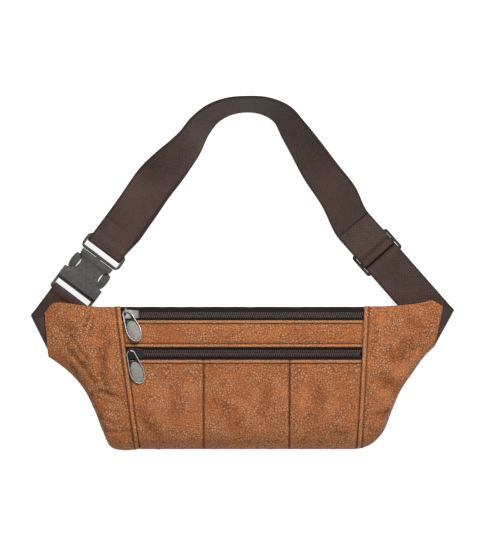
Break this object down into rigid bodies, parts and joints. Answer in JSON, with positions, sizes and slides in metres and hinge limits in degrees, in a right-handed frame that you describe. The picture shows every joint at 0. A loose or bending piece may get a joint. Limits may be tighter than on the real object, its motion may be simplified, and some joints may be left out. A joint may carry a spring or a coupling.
{
  "type": "waist pack",
  "caption": "Flat leather waist pack with zipped compartments, tapering wings, and a webbing belt with a side-release buckle and strap adjuster.",
  "frame": {"origin": "centre of the flat part of the pack's back, where it rests", "axes": "+X along the pack towards the adjuster's side, +Y from the pack's lower edge towards its belt, +Z out of its front"},
  "size_m": [0.395, 0.3301, 0.038],
  "materials": {
    "leather": "pebbled tan leather with a soft sheen",
    "lining": "thin dark woven lining",
    "zip_tape": "dark brown woven tape",
    "zip_teeth": "dark brown nylon coil",
    "zip_metal": "dark gunmetal",
    "webbing": "dark brown woven webbing",
    "buckle_plastic": "dark grey moulded plastic",
    "adjuster_plastic": "black moulded plastic"
  },
  "bodies": {
    "pack": {"back_panel": "leather", "front_strip": "leather", "pocket_panel_left": "leather", "pocket_panel_centre": "leather", "pocket_panel_right": "leather", "wing_front_left": "leather", "wing_front_right": "leather", "wing_back_left": "leather", "wing_back_right": "leather", "main_lining": "lining", "pocket_lining": "lining", "main_zip_tape_lower": "zip_tape", "main_zip_tape_upper": "zip_tape", "front_zip_tape_lower": "zip_tape", "front_zip_tape_upper": "zip_tape", "main_zip_teeth_lower": "zip_teeth", "main_zip_teeth_upper": "zip_teeth", "front_zip_teeth_lower": "zip_teeth", "front_zip_teeth_upper": "zip_teeth", "short_strap": "webbing", "long_strap": "webbing", "buckle_socket": "buckle_plastic"},
    "buckle_plug": {"buckle_plug": "buckle_plastic"},
    "plug_arm_left": {"plug_arm_left": "buckle_plastic"},
    "plug_arm_right": {"plug_arm_right": "buckle_plastic"},
    "tri_glide": {"tri_glide": "adjuster_plastic"},
    "main_zip_slider": {"main_zip_slider": "zip_metal"},
    "main_zip_pull": {"main_zip_pull": "zip_metal"},
    "front_zip_slider": {"front_zip_slider": "zip_metal"},
    "front_zip_pull": {"front_zip_pull": "zip_metal"}
  },
  "joints": [
    {"name": "main_zip_slide", "type": "slide", "parent": "pack", "child": "main_zip_slider", "axis": [1, 0, 0], "range_m": [0, 0.2], "deforming": ["main_zip_teeth_lower", "main_zip_teeth_upper"]},
    {"name": "front_zip_slide", "type": "slide", "parent": "pack", "child": "front_zip_slider", "axis": [1, 0, 0], "range_m": [0, 0.197], "deforming": ["front_zip_teeth_lower", "front_zip_teeth_upper"]},
    {"name": "main_zip_pull_swing", "type": "hinge", "parent": "main_zip_slider", "child": "main_zip_pull", "pos_m": [-0.10882, 0.0626, 0.02595], "axis": [-1, 0, 0], "range_deg": [0, 150]},
    {"name": "front_zip_pull_swing", "type": "hinge", "parent": "front_zip_slider", "child": "front_zip_pull", "pos_m": [-0.10473, 0.02564, 0.03533], "axis": [-1, 0, 0], "range_deg": [0, 150]},
    {"name": "buckle_release", "type": "slide", "parent": "pack", "child": "buckle_plug", "axis": [0.6018, 0.7986, 0], "range_m": [0, 0.032], "deforming": ["long_strap", "plug_arm_left", "plug_arm_right"]},
    {"name": "plug_arm_left_press", "type": "hinge", "parent": "buckle_plug", "child": "plug_arm_left", "pos_m": [-0.14545, 0.1204, 0.0052], "axis": [0, 0, 1], "range_deg": [0, 11], "stiffness_Nm_per_rad": 0.25},
    {"name": "plug_arm_right_press", "type": "hinge", "parent": "buckle_plug", "child": "plug_arm_right", "pos_m": [-0.12373, 0.10403, 0.0052], "axis": [0, 0, -1], "range_deg": [0, 11], "stiffness_Nm_per_rad": 0.25},
    {"name": "tri_glide_slide", "type": "slide", "parent": "pack", "child": "tri_glide", "axis": [-0.6612, 0.7502, 0], "range_m": [-0.02, 0.045], "deforming": ["long_strap"]}
  ]
}
